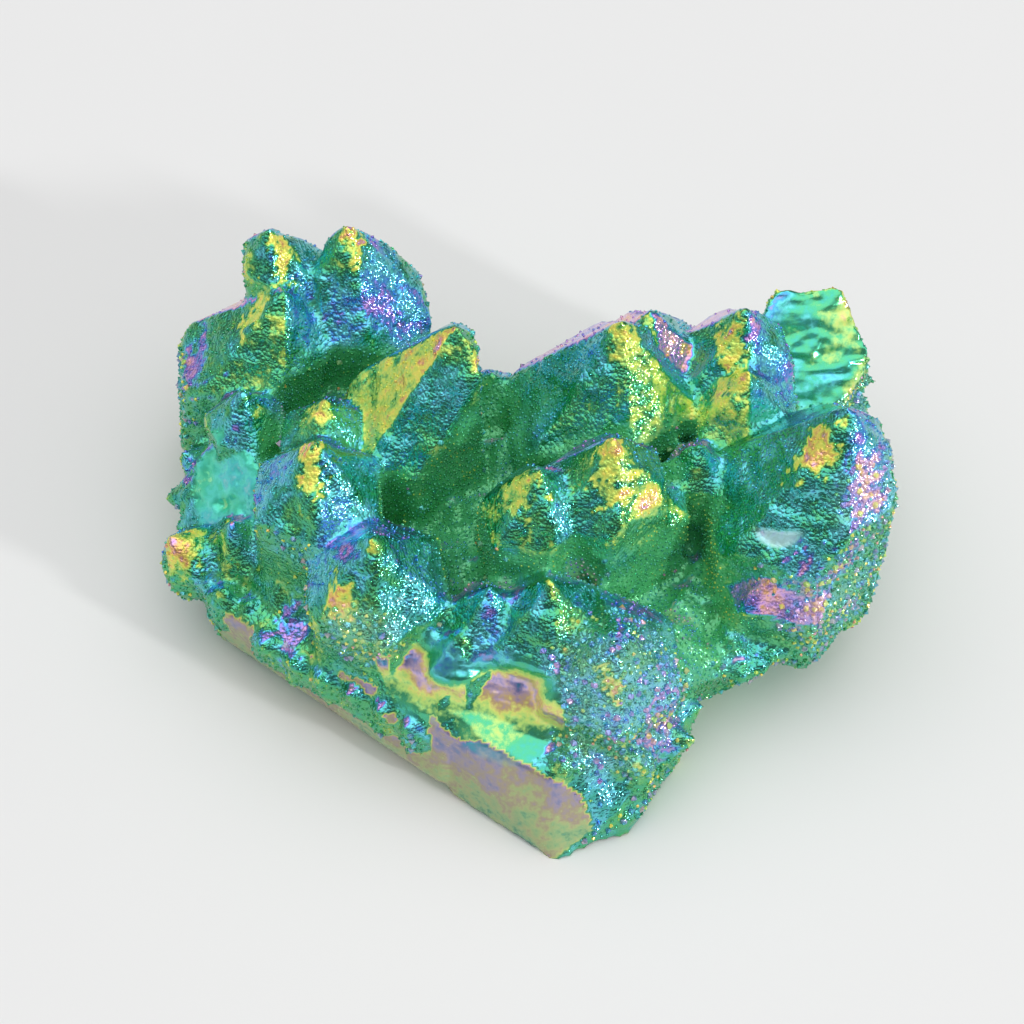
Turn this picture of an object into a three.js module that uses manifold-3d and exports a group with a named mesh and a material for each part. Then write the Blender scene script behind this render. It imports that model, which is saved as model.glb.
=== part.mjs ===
// A cluster of stubby quartz points grown together on a broken quartz base, coated with a thin film.
// Millimetres, +Z up. The cluster rests on z = 0, with the origin under the middle of its box.
import * as THREE from "three";
import { ConvexGeometry } from "three/addons/geometries/ConvexGeometry.js";
import { mergeVertices } from "three/addons/utils/BufferGeometryUtils.js";
import Module from "manifold-3d";

const wasm = await Module();
wasm.setup();

// Quartz habit. Six prism faces, and six pyramid faces whose normals rise by this angle above the prism's.
const PYRAMID_RISE = THREE.MathUtils.degToRad(38.2);
// The points grew nearly parallel: the first prism face of each one looks this way, in degrees from +X.
const COMMON_TURN = 8;
// The pyramid faces in order around the axis, a sixth of a turn apart from the first.
const FACES = ["e", "ne", "nw", "w", "sw", "se"];
const UP = new THREE.Vector3(0, 0, 1);
// Corners closer than this are one, and planes with a smaller product of normals are parallel.
const WELD = 1e-4;
const PARALLEL = 1e-6;

// Broken quartz base: three lumps around a core.
const LEFT_LUMP = [
  [-23, 1, 0], [-6, -15, 0], [0, -8, 0], [-6, 10, 0], [-11, 25, 0], [-24, 25, 0],
  [-27.5, -1, 1.5], [-7.3, -17, 2], [-6.4, -16, 10], [-28.4, -1.7, 8],
  [-31.5, 8, 8], [-31, 22, 10], [-27, 31, 10], [-13, 31.5, 10], [-8, 26, 11], [-4, 18, 13], [0, -8, 11],
];
const FRONT_LUMP = [
  [2.3, -23.4, 0], [-7, -16.5, 0], [9, -21, 0], [14, -13, 0], [0, -4, 0],
  [-6.4, -16, 10], [2, -20, 8], [8.2, -20.5, 3.5], [12, -16, 8], [14, -8, 10], [-5, -8, 11],
];
const RIGHT_LUMP = [
  [4, -6, 0], [14, -8, 0], [22, 2, 0], [21, 16, 0], [6, 15, 0], [0, 6, 0],
  [3, -6, 11], [16, -10, 8], [25, -7, 9], [31, -1, 9], [31.5, 10, 10], [31.5, 22, 11], [23, 25, 10],
  [10, 21, 11], [-2, 18, 13], [-3, 4, 11],
];
const CORE_LUMP = [
  [-8, -10, 0], [8, -12, 0], [12, 4, 0], [5, 14, 0], [-8, 14, 0],
  [-8, -10, 11], [8, -12, 9], [12, 4, 11], [4, 18, 13], [-8, 18, 13],
];

// The quartz points. tip: where the pyramid faces meet. half: prism axis to prism face. drop: tip to foot.
// shift: prism axis from the tip. lean, toward: degrees off upright, and the way it leans from +X.
// turn: degrees off the common turn. stand: how far a named pyramid face stands outside the tip.
// snap: a break across the point, the way it looks, its rise above level, and its depth below the tip.
const POINTS = [
  // The tallest point of the left arm, with one broad face towards the left.
  { tip: [-6, 12, 30], half: 6.3, drop: 24, shift: [-4.5, -1], stand: { se: 1.5 } },
  // The back of the left arm.
  { tip: [-23, 26, 27], half: 4.2, drop: 22, shift: [1.6, 0.3], turn: -8 },
  { tip: [-21.5, 21.5, 24], half: 6.3, drop: 20, shift: [-2.2, 0], lean: 8, toward: 0 },
  { tip: [-16, 26.5, 27], half: 5, drop: 22, shift: [2, -2.5], turn: 10 },
  // The left side and the front of the left arm.
  { tip: [-25, 13, 20], half: 3.5, drop: 16, turn: 12 },
  { tip: [-17.5, 9.5, 23], half: 4, drop: 18, turn: -10 },
  { tip: [-18, 2.2, 26], half: 5.5, drop: 22, turn: -6 },
  { tip: [-13, -6.5, 24], half: 6, drop: 20, lean: 8, toward: 260 },
  { tip: [-26, 2.6, 14], half: 3.2, drop: 10, lean: 14, toward: 220, turn: 20 },
  { tip: [-21.4, -0.5, 14], half: 3.2, drop: 10, lean: 10, toward: 240, turn: 34 },
  { tip: [-31.6, 2.8, 12], half: 2.9, drop: 7, lean: 25, toward: 190, turn: 8 },
  // The back of the right arm.
  { tip: [8.3, 14, 28], half: 8, drop: 24, shift: [-1.8, 0] },
  { tip: [11, 17, 26], half: 5, drop: 20, turn: 14 },
  { tip: [19.2, 16.4, 27], half: 5.5, drop: 22, shift: [-1, 0] },
  { tip: [19.5, 11, 25], half: 4.5, drop: 18, turn: -8 },
  // The large point at the right, and the one at its foot.
  { tip: [27, 2.7, 30], half: 7.5, drop: 24, shift: [-3, -1], lean: 3, toward: 0 },
  { tip: [24, -2.5, 22], half: 6.2, drop: 16, shift: [-0.5, 0], lean: 8, toward: 300, turn: 10 },
  // The twin points in the middle, and the small ones beside them.
  { tip: [7.4, 1, 28], half: 5.3, drop: 22, shift: [-1, 0] },
  { tip: [1.2, -0.7, 26], half: 4.5, drop: 20, shift: [-0.5, 0], turn: 8 },
  { tip: [11.5, 1.5, 21], half: 2.5, drop: 14 },
  { tip: [15, 5.5, 22], half: 3, drop: 14, turn: 20 },
  // The floor of the valley between the arms.
  { tip: [-3, 17.5, 17.5], half: 3, drop: 8, turn: 22 },
  { tip: [-2, 11, 15.5], half: 2.8, drop: 7, turn: 40 },
  // The front.
  { tip: [2, -9.3, 22], half: 5, drop: 18 },
  { tip: [-3, -8.5, 20], half: 4, drop: 15, turn: 12 },
  { tip: [-5.6, -11.1, 17], half: 3, drop: 12 },
  { tip: [7.7, -14.2, 21], half: 6.2, drop: 23, lean: 17, toward: 290 },
  // Points that broke off short: at the back right, at the left, and two at the front.
  {
    tip: [27.5, 18, 28], half: 5.3, drop: 20, lean: 12, toward: 330, turn: 26,
    snap: { way: 262, rise: 55, depth: 9 },
  },
  { tip: [-28, 7, 19], half: 4.8, drop: 18, lean: 12, toward: 200, snap: { way: 225, rise: 48, depth: 5 } },
  { tip: [-8.8, -10.5, 16.5], half: 4, drop: 8, snap: { way: 236, rise: 35, depth: 1.4 } },
  { tip: [-1.2, -12.5, 17.5], half: 5.2, drop: 10, snap: { way: 254, rise: 36, depth: 2 } },
];

// A row of points that hang over the clean side of the base, along its upper edge.
const RIM = {
  from: [-22, -5, 6.5], to: [-9, -13.5, 6.5], count: 6,
  half: 2.4, out: 3.4, drop: 7, lean: 50, toward: 235, twist: 17,
};

// Points that lean out around the back: where each one starts, and the way it leans.
const SKIRT = { half: 3.4, out: 4, drop: 12, lean: 48, height: 8, twist: 23 };
const SKIRT_ROOTS = [
  { x: 24, y: 18, way: 32 }, { x: 17, y: 23, way: 50 }, { x: 10, y: 25, way: 68 },
  { x: -14, y: 29.5, way: 84 }, { x: -22, y: 29.5, way: 112 }, { x: -28.5, y: 22, way: 158 },
];

// A shell-shaped hollow where the broken front points meet.
const HOLLOW = { at: [-6.6, -17.6, 11.5], radius: 3.2, detail: 2 };

// What the flat rest is cut by.
const GROUND = { width: 120, depth: 120, height: 20 };

// Small points on the bare base, found by rays from outside. above, below: how far one reaches out of the surface
// and into it, in its own half widths. upright, outward: how far it turns from the surface towards +Z and the ray.
const SPROUTS = {
  rays: 900, seed: 11, half: [1, 2.4], above: 1.3, below: 2.4, lowest: 2.5, upright: 0.5, outward: 0.4,
  middle: [0, 4, 8], spread: [56, 48, 10], start: 120,
};
// The clean side of the base carries none, nor does the broken front: the plane of one, the middle of the other.
const CLEAN_SIDE = new THREE.Vector3(-0.54, -0.84, 0);
const CLEAN_DISTANCE = 15.5;
const BROKEN_FRONT = new THREE.Vector3(-3.5, -16, 12);
const BROKEN_REACH = 6.5;

const FILM_GREEN = 0x2f9c86;
const SIXTH_TURN = 60;

// A closed solid from a closed three.js geometry.
function toSolid(geometry) {
  geometry.deleteAttribute("normal");
  geometry.deleteAttribute("uv");
  const merged = mergeVertices(geometry, WELD);
  return new wasm.Manifold(new wasm.Mesh({
    numProp: 3,
    vertProperties: new Float32Array(merged.attributes.position.array),
    triVerts: new Uint32Array(merged.index.array),
  }));
}

function lump(corners) {
  return toSolid(new ConvexGeometry(corners.map((corner) => new THREE.Vector3(...corner))));
}

// Where three planes cross, or null where two of them are parallel.
function crossing(a, b, c) {
  const bc = b.normal.clone().cross(c.normal);
  const scale = a.normal.dot(bc);
  if (Math.abs(scale) < PARALLEL) {
    return null;
  }
  const ca = c.normal.clone().cross(a.normal);
  const ab = a.normal.clone().cross(b.normal);
  return bc.multiplyScalar(-a.constant)
    .addScaledVector(ca, -b.constant)
    .addScaledVector(ab, -c.constant)
    .divideScalar(scale);
}

// The corners of the convex solid behind all the planes: each lies on three of them and outside none.
function cornersOf(planes) {
  const corners = [];
  for (let i = 0; i < planes.length; i += 1) {
    for (let j = i + 1; j < planes.length; j += 1) {
      for (let k = j + 1; k < planes.length; k += 1) {
        const point = crossing(planes[i], planes[j], planes[k]);
        if (point && planes.every((plane) => plane.distanceToPoint(point) < WELD)) {
          corners.push(point);
        }
      }
    }
  }
  return corners;
}

function planeAt(normal, distance) {
  return new THREE.Plane(normal, -distance);
}

// The direction that looks this way from +X and rises this far above level, both in degrees.
function facing(way, rise) {
  const level = THREE.MathUtils.degToRad(way);
  const upward = THREE.MathUtils.degToRad(rise);
  return new THREE.Vector3(
    Math.cos(level) * Math.cos(upward),
    Math.sin(level) * Math.cos(upward),
    Math.sin(upward),
  );
}

// One quartz point, as the corners of its prism, its pyramid faces and its foot.
function quartzPoint({ tip, half, drop, shift = [0, 0], lean = 0, toward = 0, turn = 0, stand = {}, snap }) {
  const planes = [planeAt(UP.clone().negate(), drop)];
  if (snap) {
    planes.push(planeAt(facing(snap.way, snap.rise), -snap.depth));
  }
  FACES.forEach((face, index) => {
    const out = facing(COMMON_TURN + turn + index * SIXTH_TURN, 0);
    const along = out.x * shift[0] + out.y * shift[1];
    planes.push(planeAt(out, half + along));
    const slope = out.clone().multiplyScalar(Math.cos(PYRAMID_RISE)).addScaledVector(UP, Math.sin(PYRAMID_RISE));
    planes.push(planeAt(slope, stand[face] ?? 0));
  });
  const swing = THREE.MathUtils.degToRad(toward);
  const hinge = new THREE.Vector3(-Math.sin(swing), Math.cos(swing), 0);
  const geometry = new ConvexGeometry(cornersOf(planes));
  geometry.applyMatrix4(new THREE.Matrix4().makeRotationAxis(hinge, THREE.MathUtils.degToRad(lean)));
  geometry.translate(...tip);
  return toSolid(geometry);
}

// A three.js geometry from a solid.
function toGeometry(solid) {
  const mesh = solid.getMesh();
  const geometry = new THREE.BufferGeometry();
  geometry.setAttribute("position", new THREE.BufferAttribute(mesh.vertProperties, 3));
  geometry.setIndex(new THREE.BufferAttribute(mesh.triVerts, 1));
  return geometry;
}

// A repeatable stream of numbers from 0 to 1.
function stream(seed) {
  let state = seed;
  return () => {
    state = (state * 1664525 + 1013904223) % 4294967296;
    return state / 4294967296;
  };
}

// A small point that grows out of a surface along an axis.
function sprout(root, axis, half, turn) {
  const level = Math.atan2(axis.y, axis.x);
  return quartzPoint({
    tip: root.clone().addScaledVector(axis, half * SPROUTS.above).toArray(),
    half,
    drop: half * (SPROUTS.above + SPROUTS.below),
    lean: THREE.MathUtils.radToDeg(Math.acos(axis.z)),
    toward: THREE.MathUtils.radToDeg(level),
    turn,
  });
}

// Small points wherever a ray from outside meets the bare base, off its clean sides.
function sproutsOn(base, whole) {
  const random = stream(SPROUTS.seed);
  const bare = new THREE.Mesh(toGeometry(base), new THREE.MeshStandardMaterial());
  const covered = new THREE.Mesh(toGeometry(whole), new THREE.MeshStandardMaterial());
  const found = [];
  for (let i = 0; i < SPROUTS.rays; i += 1) {
    const from = facing(360 * random(), 90 * random());
    const aim = new THREE.Vector3(random() - 0.5, random() - 0.5, random() - 0.5)
      .multiply(new THREE.Vector3(...SPROUTS.spread))
      .add(new THREE.Vector3(...SPROUTS.middle));
    const half = THREE.MathUtils.lerp(...SPROUTS.half, random() * random());
    const turn = SIXTH_TURN * random();
    const start = aim.clone().addScaledVector(from, SPROUTS.start);
    const ray = new THREE.Raycaster(start, from.clone().negate());
    const hit = ray.intersectObject(bare)[0];
    if (!hit || hit.point.z < SPROUTS.lowest || ray.intersectObject(covered)[0].distance < hit.distance - WELD) {
      continue;
    }
    if (hit.point.dot(CLEAN_SIDE) > CLEAN_DISTANCE || hit.point.distanceTo(BROKEN_FRONT) < BROKEN_REACH) {
      continue;
    }
    const axis = hit.face.normal.clone()
      .addScaledVector(UP, SPROUTS.upright)
      .addScaledVector(from, SPROUTS.outward)
      .normalize();
    found.push(sprout(hit.point, axis, half, turn));
  }
  return found;
}

// A point that leans out of a root on the base.
function leaningPoint(root, { half, out, drop, lean, twist }, toward, index) {
  return quartzPoint({
    tip: root.clone().addScaledVector(facing(toward, 90 - lean), out).toArray(),
    half,
    drop,
    lean,
    toward,
    turn: twist * index,
  });
}

function rimPoints() {
  const from = new THREE.Vector3(...RIM.from);
  const to = new THREE.Vector3(...RIM.to);
  return Array.from({ length: RIM.count }, (_, index) => {
    const root = from.clone().lerp(to, index / (RIM.count - 1));
    return leaningPoint(root, RIM, RIM.toward, index);
  });
}

function skirtPoints() {
  return SKIRT_ROOTS.map(({ x, y, way }, index) => {
    const root = new THREE.Vector3(x, y, SKIRT.height);
    return leaningPoint(root, SKIRT, way, index);
  });
}

function joined(solids) {
  return solids.reduce((whole, solid) => whole.add(solid));
}

// The solid inside the outer skin: pockets sealed in between the points are filled.
function outerSkin(solid) {
  return solid.decompose().reduce((largest, shell) => (shell.volume() > largest.volume() ? shell : largest));
}

const hollow = toSolid(new THREE.IcosahedronGeometry(HOLLOW.radius, HOLLOW.detail).translate(...HOLLOW.at));
const ground = toSolid(
  new THREE.BoxGeometry(GROUND.width, GROUND.depth, GROUND.height).translate(0, 0, -GROUND.height / 2),
);
const base = joined([LEFT_LUMP, FRONT_LUMP, RIGHT_LUMP, CORE_LUMP].map(lump)).subtract(hollow);
const grown = joined([base, ...rimPoints(), ...skirtPoints(), ...POINTS.map(quartzPoint)]).subtract(hollow);
const body = outerSkin(joined([grown, ...sproutsOn(base, grown)]).subtract(ground));

const shape = toGeometry(body);
shape.computeBoundingBox();
const middle = shape.boundingBox.getCenter(new THREE.Vector3());
shape.translate(-middle.x, -middle.y, -shape.boundingBox.min.z);

const cluster = new THREE.Mesh(shape, new THREE.MeshStandardMaterial({
  color: FILM_GREEN,
  roughness: 0.35,
  metalness: 0.6,
}));
cluster.name = "quartz_cluster";

const part = new THREE.Group();
part.name = "aura_quartz_cluster";
part.add(cluster);
export default part;
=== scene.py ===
"""Aura quartz cluster: the film-coated crystals, their druse, and a plain studio stage."""

import math

import bmesh
import bpy
import numpy as np
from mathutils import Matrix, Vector, noise
from mathutils.bvhtree import BVHTree


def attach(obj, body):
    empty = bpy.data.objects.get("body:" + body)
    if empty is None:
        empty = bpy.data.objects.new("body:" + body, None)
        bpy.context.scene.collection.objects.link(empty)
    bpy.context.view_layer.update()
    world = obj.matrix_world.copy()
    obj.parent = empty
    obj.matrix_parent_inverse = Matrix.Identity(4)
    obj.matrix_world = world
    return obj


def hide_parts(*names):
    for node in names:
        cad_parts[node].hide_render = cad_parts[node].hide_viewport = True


bl_info = {
    "name": "Aura Quartz Cluster",
    "version": (1, 0, 0),
    "blender": (4, 5, 0),
    "location": "3D View > Sidebar > Quartz",
    "description": "Builds a film-coated quartz cluster with its druse and a studio stage",
    "category": "Object",
}

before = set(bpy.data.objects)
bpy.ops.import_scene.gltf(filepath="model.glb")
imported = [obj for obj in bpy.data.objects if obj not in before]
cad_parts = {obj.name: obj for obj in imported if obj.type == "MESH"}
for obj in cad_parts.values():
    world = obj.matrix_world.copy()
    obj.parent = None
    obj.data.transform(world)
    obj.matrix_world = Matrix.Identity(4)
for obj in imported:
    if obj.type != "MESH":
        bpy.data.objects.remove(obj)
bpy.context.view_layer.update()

NODE = "quartz_cluster"
BODY = "root"
MM = 0.001
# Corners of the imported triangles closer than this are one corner.
MERGE = 1e-6

# The pyramid faces of the points look these ways: the first one in degrees from +X,
# then every sixth of a turn.
FIRST_WAY = 8.0
FACE_STEP = 60.0
WAYS = ("e", "ne", "nw", "w", "sw", "se")
# The smooth pyramid faces look this way.
BACK_WAY = 128.0
# How bare of druse they are.
BACK_BARE = 0.8

# Film orders run around the colours once, from orange through green and blue to lilac.
ORANGE, GOLD, LIME, GREEN, SEA = 0.5, 0.6, 0.7, 0.81, 0.92
TEAL, CYAN, BLUE, VIOLET, LILAC = 1.0, 1.1, 1.2, 1.3, 1.4
COMMON_FILM = {"e": 1.08, "ne": 1.2, "nw": 1.31, "w": 0.92, "sw": 0.96, "se": 1.04}
# The points whose faces took a film of their own: tip in millimetres, half width,
# and the order on each face.
POINT_FILMS = (
    {"tip": (-6.1, 7.5, 30), "half": 6.3, "w": 0.63, "sw": 0.99, "se": 0.95, "nw": 1.03},
    {"tip": (-23.1, 21.5, 27), "half": 4.2, "w": 0.98, "sw": 1.02, "se": 1.1},
    {"tip": (-21.6, 17.0, 24), "half": 6.3, "w": 0.93, "sw": 0.88, "se": 1.1, "nw": 1.38},
    {"tip": (-16.1, 22.0, 27), "half": 5.0, "w": 0.95, "sw": 0.93, "se": 1.15},
    {"tip": (-25.1, 8.5, 20), "half": 3.5, "w": 1.1, "sw": 1.02, "se": 0.9},
    {"tip": (-17.6, 5.0, 23), "half": 4.0, "w": 0.92, "sw": 0.86, "se": 1.0},
    {"tip": (-18.1, -2.3, 26), "half": 5.5, "w": 1.15, "sw": 0.96, "se": 1.08, "nw": 1.0},
    {"tip": (-13.1, -11.0, 24), "half": 6.0, "w": 1.05, "sw": 0.95, "se": 1.02, "nw": 1.25},
    {"tip": (8.2, 9.5, 28), "half": 8.0, "w": 1.0, "sw": 0.9, "se": 0.76, "nw": 1.34},
    {"tip": (10.9, 12.5, 26), "half": 5.0, "w": 0.7, "sw": 0.72, "se": 1.4, "nw": 1.4},
    {"tip": (19.1, 11.9, 27), "half": 5.5, "w": 0.9, "sw": 0.95, "se": 1.12, "nw": 1.3},
    {"tip": (19.4, 6.5, 25), "half": 4.5, "w": 0.8, "sw": 0.8, "se": 1.08, "nw": 0.9},
    {"tip": (26.9, -1.8, 30), "half": 7.5, "w": 0.97, "sw": 1.01, "se": 1.12, "nw": 1.0},
    {"tip": (23.9, -7.0, 22), "half": 6.2, "w": 1.3, "sw": 1.36, "se": 0.9, "nw": 0.9},
    {"tip": (7.3, -3.5, 28), "half": 5.3, "w": 0.86, "sw": 0.95, "se": 0.84, "nw": 1.23},
    {"tip": (1.1, -5.2, 26), "half": 4.5, "w": 0.82, "sw": 0.95, "se": 1.05, "nw": 1.0},
    {"tip": (11.4, -3.0, 21), "half": 2.5, "w": 0.64, "sw": 0.64, "se": 0.8},
    {"tip": (14.9, 1.0, 22), "half": 3.0, "w": 0.98, "sw": 0.95, "se": 1.05},
    {"tip": (1.9, -13.8, 22), "half": 5.0, "w": 1.0, "sw": 0.98, "se": 0.84, "nw": 0.95},
    {"tip": (-3.1, -13.0, 20), "half": 4.0, "w": 0.95, "sw": 1.12, "se": 1.0},
    {"tip": (-5.7, -15.6, 17), "half": 3.0, "w": 0.97, "sw": 1.0, "se": 0.88},
    {"tip": (7.6, -18.7, 21), "half": 6.2, "w": 0.98, "sw": 1.1, "se": 1.12, "nw": 0.9},
)
# A facet is a listed point's own where its plane passes this close to the tip,
# within this many half widths.
OWN_GAP = 0.6
OWN_REACH = 2.2
# How much a gold face turns towards green with each millimetre below its tip.
GOLD_FADE = 0.006
# Broken faces that carry no druse: middle and reach in millimetres, film order (0 where the bands give it)
# and its drift, height of the ripples, paleness (a lighter film, and painted light that brightens a face the
# lamp misses), and the way the face looks in degrees.
SNAPPED = (
    {
        "at": (26.2, 12.8, 21.0),
        "reach": 7.0,
        "film": 0.97,
        "drift": 0.35,
        "ripple": 0.26,
        "pale": 0.25,
        "way": (262, 55),
    },
    # The broken face at the left: its paleness is mostly painted light, brightening a face that turns away
    # from the lamp.
    {
        "at": (-28.9, 1.1, 15.0),
        "reach": 6.0,
        "film": 0.92,
        "drift": 0.45,
        "ripple": 0.36,
        "pale": 0.8,
        "way": (225, 48),
    },
    {
        "at": (-8.6, -16.8, 12.2),
        "reach": 4.4,
        "film": 0.0,
        "drift": 0.15,
        "ripple": 0.12,
        "pale": 0.2,
        "way": (240, 30),
        "agrees": 0.45,
    },
    {
        "at": (-1.6, -19.6, 11.6),
        "reach": 5.2,
        "film": 0.0,
        "drift": 0.15,
        "ripple": 0.12,
        "pale": 0.2,
        "way": (245, 30),
        "agrees": 0.45,
    },
)
# Bands of film across the broken faces at the front: heights in millimetres, and orders there.
BAND_HEIGHTS = (7.5, 8.7, 9.7, 10.5, 11.3, 12.1, 13.0, 14.0, 15.0)
BAND_FILMS = (1.02, 0.92, 0.8, 0.68, 0.5, 0.42, 0.62, 0.85, 1.02)
# How much unevenness bends the bands.
BAND_BEND = 0.9
# How well a facet agrees with a broken face, where the face itself does not say.
SNAP_AGREES = 0.93
# The clean sides of the base: the ways they look, and how far out along the first they lie.
CLEAN_WAYS = (
    (-0.59, -0.80, 0.08),
    (-0.61, -0.77, -0.17),
    (-0.33, -0.87, 0.36),
    (-0.39, -0.51, -0.77),
    (0.21, -0.90, 0.39),
)
CLEAN_DISTANCE = 17.6
CLEAN_AGREES = 0.992
# The film up the clean sides: heights in centimetres, and orders there.
CLEAN_HEIGHTS = (0.0, 0.25, 0.5, 0.8, 1.1)
CLEAN_FILMS = (0.68, 0.64, 0.5, 0.43, 0.4)
# Hollows where the film is thin and the quartz shows: the shelter at which they begin and are full,
# and places that are hollow in any case, middle and reach in millimetres.
HOLLOW_SHELTER = (0.32, 0.62)
HOLLOWS = ({"at": (13.0, -12.0, 10.0), "reach": 7.0},)
# Places with a coarser crust, which a painted sparkle also lightens: middle and reach in millimetres.
CRUSTS = (
    {"at": (8.0, -20.0, 13.0), "reach": 9.0},
    {"at": (27.5, -8.0, 13.0), "reach": 8.0},
    {"at": (30.5, -5.5, 22.0), "reach": 6.0},
    {"at": (-14.0, -15.0, 15.0), "reach": 4.5},
    {"at": (30.0, 14.0, 15.0), "reach": 7.0},
)
# Patches where the film is thicker or thinner than around them: middle and reach in millimetres,
# and order there.
BLUSHES = (
    {"at": (-21.7, 20.2, 24.8), "reach": 1.9, "film": 0.54},
    {"at": (-24.1, 16.8, 21.5), "reach": 1.8, "film": 0.54, "left": True},
    {"at": (-14.9, 21.4, 25.5), "reach": 2.2, "film": 0.52},
    {"at": (-12.8, 20.1, 22.3), "reach": 3.0, "film": 1.17},
    {"at": (-15.9, 16.2, 19.9), "reach": 3.0, "film": 1.14},
    {"at": (-25.4, 7.3, 18.5), "reach": 1.8, "film": 1.25},
    {"at": (-18.0, 4.7, 22.4), "reach": 1.5, "film": 0.62},
    {"at": (-18.5, -3.5, 24.3), "reach": 2.0, "film": 0.52},
    {"at": (-22.0, -2.9, 20.5), "reach": 3.2, "film": 1.12},
    {"at": (-14.9, -10.5, 21.7), "reach": 3.0, "film": 1.22},
    {"at": (-15.8, -13.5, 18.4), "reach": 1.9, "film": 0.6},
    {"at": (-20.7, -9.8, 8.8), "reach": 2.2, "film": 1.38},
    {"at": (9.0, 8.0, 25.9), "reach": 2.8, "film": 0.66},
    {"at": (18.3, 10.5, 25.0), "reach": 2.6, "film": 0.58},
    {"at": (20.5, 11.0, 25.0), "reach": 1.8, "film": 1.36},
    {"at": (17.8, 6.9, 23.0), "reach": 2.2, "film": 0.6},
    {"at": (24.6, -1.3, 27.6), "reach": 2.8, "film": 1.08},
    {"at": (24.2, -3.8, 26.6), "reach": 2.2, "film": 0.54, "left": True},
    {"at": (23.4, -11.2, 15.3), "reach": 3.2, "film": 1.36},
    {"at": (28.5, -6.3, 24.0), "reach": 2.2, "film": 1.40},
    {"at": (27.1, -9.4, 18.6), "reach": 2.2, "film": 1.36},
    {"at": (7.2, -5.2, 25.9), "reach": 2.4, "film": 0.57},
    {"at": (4.2, -8.4, 15.8), "reach": 2.2, "film": 1.38},
    {"at": (-1.0, -5.5, 23.3), "reach": 2.6, "film": 0.63},
    {"at": (10.6, -6.2, 22.8), "reach": 1.6, "film": 0.60},
    {"at": (-1.3, -11.7, 17.4), "reach": 2.2, "film": 1.20},
    {"at": (6.5, -20.3, 17.1), "reach": 1.6, "film": 0.54},
    {"at": (11.5, -19.5, 10.0), "reach": 3.2, "film": 1.40},
    {"at": (-30.9, -2.6, 11.0), "reach": 2.6, "film": 0.60},
    {"at": (-28.6, -3.6, 9.4), "reach": 2.0, "film": 1.18},
    {"at": (-30.5, 15.5, 15.5), "reach": 3.2, "film": 1.36},
    {"at": (-31.0, 10.0, 12.0), "reach": 2.6, "film": 1.33},
    {"at": (23.3, 9.8, 21.7), "reach": 3.4, "film": 1.18},
    {"at": (28.5, 14.5, 22.0), "reach": 3.4, "film": 0.74},
    {"at": (-29.5, 0.2, 13.0), "reach": 3.2, "film": 0.66},
    {"at": (-28.0, 3.0, 17.5), "reach": 2.6, "film": 1.03},
)
# The patches are longer down the ridges at the front, or down those at the left, by this much.
FRONT_RIDGE = (0.094, -0.664, -0.742)
LEFT_RIDGE = (-0.528, -0.413, -0.742)
BLUSH_STRETCH = 1.9
# The share of its reach that a patch fills, how fully it covers, and where its ragged edge begins and ends.
BLUSH_REACH = 0.8
BLUSH_COVER = 0.85
BLUSH_EDGE = (-1.05, -0.6)
# A shallow pale chip in the large point at the right: middle, half length along X,
# half width and depth, in millimetres.
CHIP = {"at": (21.3, -8.3, 20.3), "long": 2.2, "wide": 0.8, "depth": 0.35}
# The chip's width runs down the face, and its ends bend upwards.
CHIP_DOWN = (0.0, -0.58, -0.81)
CHIP_BEND = 0.9


# How far a ridge stands out, in millimetres, where it begins to count and where it counts in full.
SHARP_RIDGE = (0.08, 0.6)
BROAD_RIDGE = (0.15, 2.2)
# How much thinner the film is on them.
SHARP_SHIFT = 0.08
BROAD_SHIFT = 0.13
# Unevenness from slow to quick: its size in millimetres, and a shift that sets each apart.
SLOW = (7.0, 3.1)
LUMPS = (4.6, 5.7)
MILD = (2.6, 9.4)
QUICK = (1.1, 1.3)
SPECK = (0.55, 6.8)
# Sizes of the rounded bumps and of the crinkles on the broken faces, in millimetres.
DOME_SIZE = 1.25
CRINKLE_SIZE = 1.15
# Middle and spacing of the curved ripples on the broken faces, in millimetres.
SHELL_MIDDLE = (30, 14, 24)
SHELL_STEP = 0.3
# Grains stand from the first height up, in millimetres, and all of them from the second.
GRAIN_HEIGHTS = (0.4, 0.8)
# Passes of smoothing.
GRID_PASSES = 3
SHARP_PASSES = 30
BROAD_PASSES = 150
SHELTER_PASSES = 6
CLEAN_PASSES = 8
BARE_PASSES = 2


class QuartzBodySettings(bpy.types.PropertyGroup):
    """Sizes of the coated crystals' own surface."""

    cell: bpy.props.FloatProperty(
        name="Cell",
        description="Spacing of the surface's corners",
        default=0.00039,
        unit="LENGTH",
        precision=5,
    )
    inset: bpy.props.FloatProperty(
        name="Inset",
        description="How far a drusy surface lies under its grains' tips",
        default=0.00012,
        unit="LENGTH",
        precision=5,
    )
    bump: bpy.props.FloatProperty(
        name="Bump",
        description="Height of the crystals' rounded bumps",
        default=0.00013,
        unit="LENGTH",
        precision=5,
    )
    wave: bpy.props.FloatProperty(
        name="Wave",
        description="Height of the slow swells on a face",
        default=0.00016,
        unit="LENGTH",
        precision=5,
    )


class QuartzDruseSettings(bpy.types.PropertyGroup):
    """Sizes of the small crystals on the drusy faces."""

    fine_spacing: bpy.props.FloatProperty(
        name="Fine spacing",
        description="Least distance between fine grains",
        default=0.0004,
        unit="LENGTH",
        precision=5,
    )
    fine_size: bpy.props.FloatProperty(
        name="Fine size",
        description="Largest radius of a fine grain",
        default=0.0002,
        unit="LENGTH",
        precision=5,
    )
    coarse_spacing: bpy.props.FloatProperty(
        name="Coarse spacing",
        description="Least distance between coarse grains",
        default=0.00058,
        unit="LENGTH",
        precision=5,
    )
    coarse_size: bpy.props.FloatProperty(
        name="Coarse size",
        description="Largest radius of a coarse grain",
        default=0.00037,
        unit="LENGTH",
        precision=5,
    )
    seed: bpy.props.IntProperty(name="Seed", description="Which scatter of grains is made", default=7)


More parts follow.
